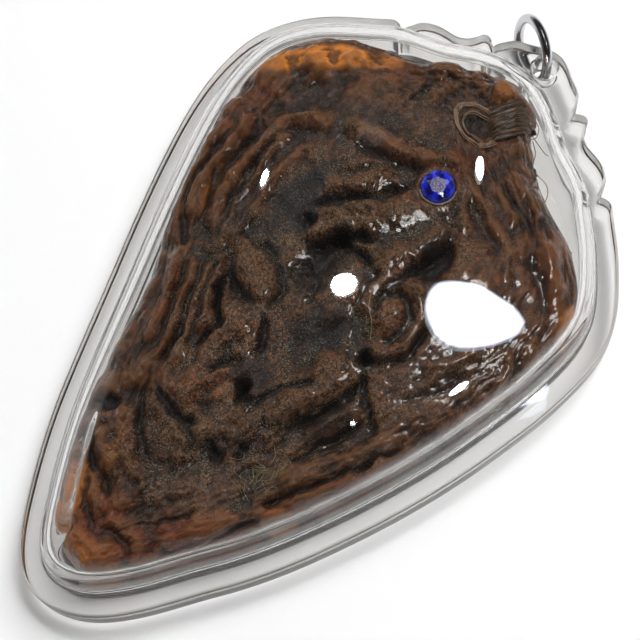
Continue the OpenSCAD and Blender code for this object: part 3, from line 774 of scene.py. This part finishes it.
class Finish:
    """A node material whose nodes are made and joined by short calls."""

    def __init__(self, name):
        self.material = bpy.data.materials.new(name)
        self.material.use_nodes = True
        self.tree = self.material.node_tree
        self.tree.nodes.clear()
        self.out = self.tree.nodes.new("ShaderNodeOutputMaterial")

    def node(self, kind, inputs=None, **settings):
        return add_node(self.tree, "ShaderNode" + kind, inputs, **settings)

    def grain(self, size_mm, detail=2.0, roughness=0.5, distortion=0.0):
        """Noise of about that grain size on Object coordinates."""
        where = self.node("TexCoord").outputs["Object"]
        return self.node("TexNoise", {"Vector": where, "Scale": 1 / (size_mm * MM), "Detail": detail,
                                      "Roughness": roughness, "Distortion": distortion}).outputs["Fac"]

    def spread(self, value, low, high, to_low=0.0, to_high=1.0):
        return self.node("MapRange", {"Value": value, "From Min": low, "From Max": high, "To Min": to_low,
                                      "To Max": to_high}, interpolation_type="SMOOTHSTEP").outputs["Result"]

    def painted(self, name):
        return self.node("Attribute", attribute_name=name).outputs["Fac"]

    def math(self, operation, a, b=0.0):
        return self.node("Math", {0: a, 1: b}, operation=operation).outputs[0]

    def mix(self, share, a, b):
        a, b = (colour if isinstance(colour, bpy.types.NodeSocket) else (*colour, 1) for colour in (a, b))
        return self.node("Mix", {0: share, 6: a, 7: b}, data_type="RGBA").outputs[2]

    def bump(self, height, depth_mm, strength=1.0, under=None):
        inputs = {"Height": height, "Distance": depth_mm * MM, "Strength": strength}
        if under is not None:
            inputs["Normal"] = under
        return self.node("Bump", inputs).outputs["Normal"]

    def surface(self, shader):
        self.tree.links.new(shader.outputs[0], self.out.inputs["Surface"])
        return self.material


def acrylic():
    """Clear polished acrylic, duller on its cut edge. Shadow and diffuse rays go straight through it."""
    f = Finish("clear_acrylic")
    ripple = f.bump(f.grain(6, 1), 0.006)
    tint = f.mix(f.painted("edge"), (0.97, 0.965, 0.955), (0.80, 0.77, 0.735))
    glass = f.node("BsdfPrincipled", {"Base Color": tint, "IOR": 1.49,
                                      "Roughness": f.spread(f.painted("edge"), 0, 1, 0.015, 0.2),
                                      "Transmission Weight": 1.0, "Normal": ripple})
    clear = f.node("BsdfTransparent", {"Color": f.mix(f.painted("edge"), (0.93, 0.93, 0.925),
                                                      (0.35, 0.345, 0.34))})
    path = f.node("LightPath")
    through_it = f.math("MAXIMUM", path.outputs["Is Shadow Ray"], path.outputs["Is Diffuse Ray"])
    return f.surface(f.node("MixShader", {0: through_it, 1: glass.outputs[0], 2: clear.outputs[0]}))


def steel():
    f = Finish("polished_steel")
    scratch = f.bump(f.grain(0.4, 3), 0.004)
    return f.surface(f.node("BsdfPrincipled", {
        "Base Color": (0.62, 0.62, 0.64, 1), "Metallic": 1.0, "Normal": scratch,
        "Roughness": f.spread(f.grain(1.2, 3), 0.3, 0.7, 0.1, 0.24)}))


def resin_leather():
    """Dark leathery skin under a glossy resin, amber where thin, olive and black in the rough middle."""
    f = Finish("resin_leather")
    patches, specks = f.grain(3.5, 3, 0.6), f.grain(0.19, 1, 0.6)
    mid, crumbs = f.grain(0.9, 3, 0.6), f.grain(0.45, 3, 0.65)
    colour = f.mix(f.spread(patches, 0.35, 0.65), (0.022, 0.0068, 0.0022), (0.070, 0.0225, 0.0062))
    colour = f.mix(f.spread(mid, 0.4, 0.75), colour, (0.115, 0.040, 0.0125))
    olive = f.math("MULTIPLY", f.painted("olive"), f.spread(patches, 0.25, 0.6, 0.35, 1.0))
    colour = f.mix(olive, colour, (0.046, 0.0270, 0.0085))
    grey = f.math("MULTIPLY", f.painted("grey"), f.spread(crumbs, 0.35, 0.62, 0.25, 1.0))
    colour = f.mix(grey, colour, (0.072, 0.048, 0.034))
    amber = f.math("MULTIPLY", f.painted("amber"), f.spread(mid, 0.2, 0.5, 0.75, 1.0))
    colour = f.mix(amber, colour, (0.74, 0.235, 0.019))
    red = f.math("MULTIPLY", f.painted("red"), f.spread(mid, 0.2, 0.6, 0.7, 1.0))
    colour = f.mix(red, colour, (0.165, 0.034, 0.009))
    # Painted light: the crests of the folds are lightened.
    colour = f.mix(f.math("MULTIPLY", f.painted("crest"), 0.55), colour, (0.165, 0.068, 0.024))
    soot = f.math("MULTIPLY", f.spread(crumbs, 0.56, 0.44), f.painted("rough"))
    colour = f.mix(f.math("MULTIPLY", soot, 0.85), colour, (0.004, 0.003, 0.002))
    # Painted shade: the hollows of the folds are darkened almost to black.
    colour = f.mix(f.math("MULTIPLY", f.painted("hollow"), 0.8), colour, (0.003, 0.002, 0.0014))
    # Dark paint: dark skin, and painted shade in the creases, slits, pits and hollows.
    colour = f.mix(f.painted("dark"), colour, (0.002, 0.002, 0.003))
    # Pale specks: the skin's grain, and in part painted glints.
    scattered = f.spread(f.math("ADD", specks, f.spread(f.grain(2.5, 2), 0.3, 0.7, -0.05, 0.05)), 0.56, 0.70)
    grain_and_glint_specks = f.math("MULTIPLY", scattered, f.spread(f.painted("rough"), 0.0, 1.0, 0.2, 0.65))
    colour = f.mix(grain_and_glint_specks, colour, f.mix(f.painted("dark"), (0.26, 0.175, 0.095), (0.085, 0.088, 0.09)))
    fine = f.bump(f.grain(0.2, 2, 0.7), 0.04, under=f.bump(crumbs, 0.10, under=f.bump(mid, 0.14)))
    pebbles = f.math("MULTIPLY", f.grain(0.3, 1, 0.5), f.spread(f.painted("rough"), 0.0, 0.8, 0.25, 1.0))
    wet = f.bump(pebbles, 0.016, under=f.bump(f.grain(1.1, 2, 0.5), 0.045))
    return f.surface(f.node("BsdfPrincipled", {
        "Base Color": colour, "Normal": fine, "Coat Normal": wet,
        "Roughness": f.spread(crumbs, 0.3, 0.7, 0.4, 0.6), "Specular IOR Level": 0.12,
        "Coat Weight": f.spread(f.painted("dark"), 0.2, 0.9, 1.0, 0.2), "Coat Roughness": 0.05,
        "Coat IOR": 1.5}))


def cut_stone():
    f = Finish("royal_blue_stone")
    # Pale glitter on the table: the foil under the stone seen through it, its sparkle painted in as glints.
    painted_foil_glints = f.spread(f.grain(0.22, 3, 0.7), 0.35, 0.7)
    table = f.mix(painted_foil_glints, (0.09, 0.085, 0.20), (0.42, 0.40, 0.54))
    side = f.mix(f.spread(f.grain(1.0, 2), 0.4, 0.62), (0.001, 0.003, 0.13), (0.010, 0.024, 0.70))
    colour = f.mix(f.painted("table"), side, table)
    return f.surface(f.node("BsdfPrincipled", {"Base Color": colour, "Roughness": 0.08, "IOR": 1.7,
                                               "Coat Weight": 1.0, "Coat Roughness": 0.03}))


def make_stone():
    """Cut stone in its seat of resin, tipped a little towards the viewer."""
    cut = bmesh.new()
    for count, radius, height, turn in ((1, 0, -0.5, 0), (16, STONE_R, -0.12, 0), (16, STONE_R, 0.06, 0),
                                        (8, 1.66, 0.5, 0.5), (8, 1.05, 0.78, 0)):
        for k in range(count):
            a = (k + turn) * 2 * math.pi / count
            cut.verts.new((radius * math.cos(a) * MM, radius * math.sin(a) * MM, height * MM))
    bmesh.ops.convex_hull(cut, input=cut.verts)
    bmesh.ops.dissolve_limit(cut, angle_limit=0.01, verts=cut.verts, edges=cut.edges)
    mesh = bpy.data.meshes.new("blue_stone")
    cut.to_mesh(mesh)
    cut.free()
    table = mesh.attributes.new("table", "FLOAT", "FACE")
    table.data.foreach_set("value", [float(face.normal.z > 0.99) for face in mesh.polygons])
    tip = Matrix.Rotation(math.radians(STONE_TIP), 4, Vector(camera_right))
    mesh.transform(Matrix.Translation(Vector((*GEM_AT, SEAT_Z + STONE_LIFT)) * MM) @ tip)
    stone = bpy.data.objects.new("blue_stone", mesh)
    scene.collection.objects.link(stone)
    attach(stone, "case")
    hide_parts("gem")
    return stone


def hair_brown(name, dark, light):
    f = Finish(name)
    colour = f.mix(f.painted("shade"), dark, light)
    return f.surface(f.node("BsdfPrincipled", {"Base Color": colour, "Roughness": 0.38, "Coat Weight": 0.12,
                                               "Coat Roughness": 0.2}))


brown_hair = hair_brown("brown_hair", (0.022, 0.011, 0.005), (0.15, 0.076, 0.035))
light_hair = hair_brown("light_hair", (0.07, 0.036, 0.018), (0.22, 0.125, 0.066))
amber_hair = hair_brown("amber_hair", (0.09, 0.038, 0.011), (0.22, 0.10, 0.033))

# Paint on the charm: strength, half length, half width, heading in the picture, middle in picture pixels
PAINT = {
    "amber": [(0.9, 4.5, 1.6, 8, 285, 64), (1.0, 5.0, 1.7, 0, 335, 60), (0.5, 3.5, 1.4, -15, 372, 62),
              (0.35, 2.2, 1.4, 30, 506, 94), (0.55, 6.0, 1.5, 68, 62, 518), (0.5, 4.5, 1.9, -40, 86, 552),
              (0.12, 3.5, 1.6, 0, 112, 558), (0.6, 3.2, 1.2, 72, 566, 336), (0.35, 2.0, 1.0, 0, 278, 521),
              (0.08, 4.0, 1.2, 8, 215, 524), (0.15, 4.5, 1.0, 60, 104, 470), (0.3, 1.6, 0.5, 40, 222, 394),
              (0.3, 0.9, 0.4, 20, 190, 388), (0.2, 2.5, 1.0, 60, 212, 198), (0.2, 2.0, 1.2, 80, 230, 175)],
    "red": [(0.6, 4.8, 1.4, -20, 400, 152), (0.5, 4.0, 1.6, 0, 456, 168), (0.5, 7.0, 1.2, 25, 500, 404),
            (0.6, 4.0, 0.9, 72, 170, 292), (0.5, 9.0, 1.2, 22, 330, 494), (0.8, 9.0, 2.6, 8, 170, 546),
            (0.7, 4.4, 3.0, 60, 96, 522), (0.4, 6.0, 2.0, 80, 552, 270), (0.35, 6.0, 1.4, 10, 420, 70),
            (0.4, 3.0, 2.0, 30, 210, 394), (0.3, 2.6, 2.2, 90, 388, 322), (0.3, 5.0, 2.0, 60, 250, 110)],
    "olive": [(0.7, 9.0, 7.0, 60, 300, 250), (0.8, 5.5, 2.4, 8, 352, 222), (0.6, 9.0, 5.0, 20, 300, 400),
              (0.5, 5.0, 4.0, 0, 200, 440), (0.5, 4.0, 4.0, 0, 388, 230), (0.5, 4.0, 4.0, 0, 340, 340)],
    "grey": [(0.45, 9.0, 4.0, 8, 400, 118), (0.4, 8.0, 4.0, 20, 330, 446), (0.6, 7.5, 3.0, 12, 205, 492),
             (0.4, 7.0, 5.0, 30, 450, 390), (0.5, 4.0, 3.0, 0, 196, 440), (0.4, 4.0, 1.8, 12, 310, 104),
             (0.4, 5.0, 4.0, 60, 460, 300)],
    # Dark patches lie over slits, pits and hollows: painted shade there, on skin that is dark as well.
    "dark": [(0.85, 4.6, 2.6, 60, 302, 203), (0.8, 2.2, 1.2, 60, 307, 222), (0.75, 2.6, 2.0, 60, 432, 264),
             (0.7, 2.2, 2.0, 0, 252, 380), (0.6, 2.0, 1.6, 0, 260, 396), (0.9, 1.3, 1.0, 0, 108, 402),
             (0.8, 1.0, 0.8, 0, 105, 423), (0.8, 1.6, 1.0, 60, 364, 362), (0.6, 4.0, 1.6, 30, 330, 425),
             (0.75, 5.0, 2.6, 50, 322, 266), (0.75, 3.6, 2.6, 20, 326, 330), (0.6, 2.6, 1.4, -50, 474, 130),
             (0.5, 3.6, 1.4, 60, 244, 210), (0.5, 2.0, 1.6, 0, 214, 452), (0.5, 2.0, 1.6, 0, 240, 448)],
    "rough": [(1.0, 22.0, 17.0, 55, 330, 290), (0.9, 14.0, 8.0, 25, 220, 430), (0.45, 9.0, 4.0, 8, 410, 115),
              (0.7, 9.0, 8.0, 30, 460, 360)],
}


def store(name, amount):
    layer = charm_skin.data.attributes.new(name, "FLOAT", "POINT")
    layer.data.foreach_set("value", amount.astype(np.float32))


def paint_charm():
    """Stores each paint as an attribute on the charm's points, with ragged borders."""
    places = charm_points[:, :2]
    ragged = 0.35 * rough(places, 2.2, 4.4)
    for name, patches in PAINT.items():
        amount = np.zeros(len(places))
        for strength, half_length, half_width, heading, x, y in patches:
            along, middle = picture_heading((x, y), heading), on_charm([(x, y)])[0]
            out = np.sqrt(in_oval(places, middle, along, half_length, half_width))
            amount = np.maximum(amount, strength * (1 - ease((out + ragged - 0.7) / 0.7)))
        # Creases get dark paint too: painted shade, deeper in deeper creases.
        if name == "dark":
            amount = np.maximum(amount, np.clip(1.1 * (charm_crease - 0.35), 0, 0.85))
        store(name, amount)
    # Painted shade in the hollows and painted light on the crests, from how far each point lies below or
    # above the local mean height.
    store("hollow", np.clip(-charm_stand / 0.24, 0, 1))
    store("crest", np.clip(charm_stand / 0.28, 0, 1))


paint_charm()
charm_skin.data.materials.append(resin_leather())
clear_case.data.materials.append(acrylic())
steel_ring.data.materials.append(steel())
blue_stone = make_stone()
blue_stone.data.materials.append(cut_stone())


# Lock of hair: sweeping bundle, the loop over its left end and stray hairs, in picture pixels

def fan(left, right, count, seed, bow):
    """Paths that run from places spread between the ends of one line to places spread along another."""
    pick = np.random.default_rng(seed)
    paths = []
    for _ in range(count):
        s = pick.random()
        a = np.array(left[0]) + (np.array(left[1]) - left[0]) * np.clip(s + pick.normal(0, 0.06), 0, 1)
        b = np.array(right[0]) + (np.array(right[1]) - right[0]) * np.clip(s + pick.normal(0, 0.12), 0, 1)
        t = np.linspace(0, 1, 16)[:, None]
        middle = (a + b) / 2 + np.array(bow) * (1 - s) + pick.normal(0, 0.8, 2)
        xy = on_charm(a * (1 - t) ** 2 + 2 * middle * t * (1 - t) + b * t * t)
        t = t[:, 0]
        swell = 1.3 * math.sqrt(1 - (2 * s - 1) ** 2) * np.sin(np.pi * (0.06 + 0.88 * t))
        swell = swell * (0.55 + 0.45 * pick.random())
        ground_in = 0.9 * (1 - ease(t / 0.22)) + 1.1 * ease((t - 0.74) / 0.26)
        paths.append(laid(xy, 0.1) + np.column_stack([np.zeros((16, 2)), swell - ground_in]))
    return paths


bundle = fan(((480, 117), (487, 147)), ((530, 104), (536, 134)), 240, 5, (2, -5))
loop = [(495, 120), (485, 112), (474, 107.5), (462, 108), (455.5, 115), (456, 125), (463, 137), (472, 145),
        (481, 149), (494, 146)]
inner_loop = [(494, 126), (481, 117), (470, 115), (463, 121), (465, 130), (472, 138), (483, 147)]


def loop_paths(pixels, count, seed, lift):
    pick = np.random.default_rng(seed)
    xy = through(on_charm(pixels), 4)
    return [laid(xy + pick.normal(0, 0.12, 2), lift + 0.12 * pick.random()) for _ in range(count)]


hair = make_strands("hair_lock", bundle, brown_hair, 0.00011, wander=0.00022, wander_size=700, sides=5,
                    seed=2)
hair_loop = make_strands("hair_loop", loop_paths(loop, 9, 3, 0.3) + loop_paths(inner_loop, 4, 4, 0.25),
                         light_hair, 0.00011, wander=0.00015, wander_size=700, sides=5, seed=3)
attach(hair_loop, "case")
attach(hair, "case")
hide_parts("hair_tuft")

# Stray hairs between the charm and the case: height, then the path in picture pixels
STRAYS = [(8.5, (534, 122), (538, 130), (536, 139), (532, 142), (522, 142), (505, 139)),
          (8.0, (520, 135), (530, 138), (537, 147), (544, 156), (548, 158)),
          (7.5, (532, 144), (535, 157), (531, 169)),
          (7.0, (532, 168), (538, 190), (544, 204)),
          (7.0, (535, 174), (544, 184), (547, 195), (544, 205))]
strays = [np.column_stack([xy, np.full(len(xy), z)]) for z, *pixels in STRAYS
          for xy in [through(at_height(pixels, z), 6)]]
stray_hairs = make_strands("stray_hairs", strays, amber_hair, 0.00012, sides=6, seed=7)
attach(stray_hairs, "case")

# Short dark bits stuck to the charm and its edge: height above the charm, then the two ends in picture pixels
BITS = [(0.1, (531, 168), (534, 182)), (0.1, (534, 170), (537, 174)), (0.1, (103, 420), (106, 425))]
bits = [laid(through(on_charm(ends), 4), lift) for lift, *ends in BITS]
dark_bits = make_strands("dark_bits", bits,
                         hair_brown("soot_black", (0.004, 0.003, 0.003), (0.012, 0.010, 0.009)),
                         0.00042, wander=0.0003, wander_size=900, sides=7, seed=11)
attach(dark_bits, "case")

# Bead of resin round the stone's lower side
a = np.radians(np.linspace(PICTURE_UP + 95, PICTURE_UP + 255, 40))
bead = np.column_stack([GEM_AT[0] + BEAD_R * np.cos(a), GEM_AT[1] + BEAD_R * np.sin(a), np.full(40, BEAD_Z)])
resin_bead = make_strands("resin_bead", [bead],
                          hair_brown("wet_resin", (0.05, 0.035, 0.03), (0.09, 0.06, 0.05)),
                          0.00032, wander=0.0002, wander_size=900, sides=12, seed=4)
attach(resin_bead, "case")


def crossing_fibres():
    """Pale thin fibres in all directions on the smooth part above the tip, one more beside the curl."""
    pick = np.random.default_rng(21)
    paths = []
    for _ in range(34):
        middle = pick.normal((262, 476), (15, 13))
        a, length = pick.uniform(0, math.pi), pick.uniform(7, 20)
        reach = 0.5 * length * np.array([math.cos(a), math.sin(a)])
        bow = pick.normal(0, 3, 2)
        paths.append(laid(through(on_charm([middle - reach, middle + bow, middle + reach]), 6), 0.06))
    paths.append(laid(through(on_charm([(371, 298), (369, 312), (372, 326), (370, 342)]), 6), 0.15))
    return paths


fibres = make_strands("fibres", crossing_fibres(),
                      hair_brown("pale_fibre", (0.10, 0.075, 0.022), (0.24, 0.19, 0.07)),
                      0.00007, sides=4, seed=13)
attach(fibres, "case")


# Lamps and floor

wet_pieces, dry_pieces = (bpy.data.collections.new(name) for name in ("wet_pieces", "dry_pieces"))
for piece in (charm_skin, blue_stone, hair, hair_loop, stray_hairs, dark_bits, resin_bead, fibres):
    wet_pieces.objects.link(piece)
floor_mesh = bpy.data.meshes.new("table")
floor_mesh.from_pydata([(-2, -2, 0), (2, -2, 0), (2, 2, 0), (-2, 2, 0)], [], [(0, 1, 2, 3)])
table = bpy.data.objects.new("table", floor_mesh)
for piece in (clear_case, steel_ring, table):
    dry_pieces.objects.link(piece)


def lamp_card(name, pixels, distance, strength, soft=0.0):
    """A lit card out of view, so many metres away, whose reflection in the dome covers these picture pixels.
    It lights the dry pieces only, and what it does to the charm comes through the dome. Soft is the share of
    its width that fades out, bluish."""
    skin = clear_case.data
    tree = BVHTree.FromPolygons([v.co for v in skin.vertices], [p.vertices for p in skin.polygons])
    corners = []
    count, middle = len(pixels), np.mean(pixels, axis=0)
    for line in sight_lines(np.vstack([pixels, middle + (np.array(pixels) - middle) * (1 - soft)])):
        place, _, face, _ = tree.ray_cast(Vector(CAMERA_PLACE * MM), Vector(line))
        around = skin.polygons[face].vertices
        shares = poly_3d_calc([skin.vertices[i].co for i in around], place)
        normal = sum((skin.vertices[i].normal * share for i, share in zip(around, shares)),
                     Vector()).normalized()
        corners.append(place + Vector(line).reflect(normal) * distance)
    mesh = bpy.data.meshes.new(name)
    strip = [(k, (k + 1) % count, count + (k + 1) % count, count + k) for k in range(count)] if soft else []
    mesh.from_pydata(corners, [], strip + [tuple(range(count, 2 * count))])
    mesh.attributes.new("glow", "FLOAT", "POINT").data.foreach_set("value", np.repeat([0.0, 1.0], count))
    card = bpy.data.objects.new(name, mesh)
    scene.collection.objects.link(card)
    card.visible_camera = card.visible_shadow = False
    card.light_linking.receiver_collection = dry_pieces
    glow = Finish(name)
    share = glow.painted("glow")
    mesh.materials.append(glow.surface(glow.node("Emission", {
        "Color": glow.mix(share, (0.6, 0.75, 1.0), (1, 1, 1)),
        "Strength": glow.math("MULTIPLY", share, strength)})))
    return card


def oval(x, y, half_x, half_y, turn=0):
    """Picture pixels round an oval, turned anticlockwise by degrees."""
    c, s = math.cos(math.radians(turn)), -math.sin(math.radians(turn))
    ends = [(half_x * math.cos(a), half_y * math.sin(a))
            for a in np.linspace(0, 2 * math.pi, 16, endpoint=False)]
    return [(x + u * c - v * s, y + u * s + v * c) for u, v in ends]


# Outline of the window's reflection, in picture pixels
WINDOW = [(424, 308), (425, 299), (429, 289), (437, 282), (450, 280), (466, 281), (482, 285), (500, 296),
          (515, 306), (524, 317), (526, 325), (519, 335), (502, 343), (482, 348), (462, 349), (447, 345),
          (435, 335), (427, 321)]
pane = through(WINDOW + WINDOW[:1], 3)[:-1]
# The card that the dome mirrors is close to it, because the flat rim would mirror a far one too. The far one
# lights the table.
lamp_card("window", pane, 0.012, 48, soft=0.14).visible_diffuse = False
daylight = lamp_card("daylight", pane, 2.0, 48)
daylight.visible_glossy = daylight.visible_transmission = False
lamp_card("lamp_middle", oval(344, 284, 13.5, 11, 10), 0.6, 60)
lamp_card("lamp_left", oval(264, 178, 3.2, 9.5, -20), 0.6, 60)
lamp_card("lamp_right", oval(480, 168, 4.5, 12.5, 0), 0.06, 60)
lamp_card("lamp_low", oval(459, 388.5, 12, 3.2, 36), 0.6, 60)
lamp_card("lamp_star", oval(353, 423, 3, 2.6, 40), 0.6, 25)


LAMP_DISTANCE = 0.7         # metres


def soft_lamp(name, way, size, power, glints_only=False):
    """A round lamp that shows in no reflection. A glint lamp only makes the wet pieces glint."""
    lamp = bpy.data.objects.new(name, bpy.data.lights.new(name, "AREA"))
    lamp.data.shape, lamp.data.size, lamp.data.energy = "DISK", size, power
    lamp.location = Vector(way).normalized() * LAMP_DISTANCE
    lamp.rotation_euler = Vector(way).to_track_quat("Z", "Y").to_euler()
    if glints_only:
        lamp.visible_diffuse = False
        lamp.light_linking.receiver_collection = wet_pieces
    else:
        lamp.visible_glossy = lamp.visible_transmission = False
    scene.collection.objects.link(lamp)
    return lamp


soft_lamp("overhead", (0.05, 0.46, 0.9), 0.34, 3.5)
for lamp in (soft_lamp("side_lamp", (-0.62, 0.2, 0.75), 0.12, 1.7),
             soft_lamp("window_light", (0.0, 0.28, 0.96), 0.12, 0.9)):
    lamp.light_linking.receiver_collection = wet_pieces
for k, glint_way in enumerate([
        (-0.55, 0.10, 0.83), (-0.20, 0.55, 0.81), (-0.65, 0.45, 0.61), (0.15, 0.0, 0.99),
        (-0.30, -0.25, 0.92), (0.0, 0.28, 0.96), (0.4, 0.2, 0.9), (-0.75, -0.05, 0.66),
        (0.1, 0.7, 0.7), (-0.4, 0.3, 0.87)]):
    soft_lamp("glint_lamp_%d" % k, glint_way, 0.07, 1.1, glints_only=True)

scene.collection.objects.link(table)
paper = Finish("white_paper")
matt_white = paper.node("BsdfPrincipled", {"Base Color": (0.9, 0.9, 0.9, 1), "Roughness": 0.8})
floor_mesh.materials.append(paper.surface(matt_white))

world = bpy.data.worlds.new("studio")
scene.world = world
world.use_nodes = True
sky = world.node_tree
sky.nodes.clear()
way = add_node(sky, "ShaderNodeTexCoord").outputs["Generated"]
upward = add_node(sky, "ShaderNodeSeparateXYZ", {0: way}).outputs["Z"]
light = add_node(sky, "ShaderNodeMapRange", {"Value": upward, "From Min": 0.05, "From Max": 0.4,
                                             "To Min": 0.5, "To Max": 0.025},
                 interpolation_type="SMOOTHSTEP").outputs["Result"]
light = add_node(sky, "ShaderNodeBackground", {"Color": (1, 1, 1, 1), "Strength": light}).outputs[0]
add_node(sky, "ShaderNodeOutputWorld", {"Surface": light})

scene.view_settings.view_transform = "Standard"
scene.cycles.max_bounces = 24
scene.cycles.transmission_bounces = 20
scene.cycles.glossy_bounces = 8
scene.cycles.diffuse_bounces = 3
scene.cycles.transparent_max_bounces = 16
scene.cycles.sample_clamp_indirect = 6
scene.cycles.use_denoising = True
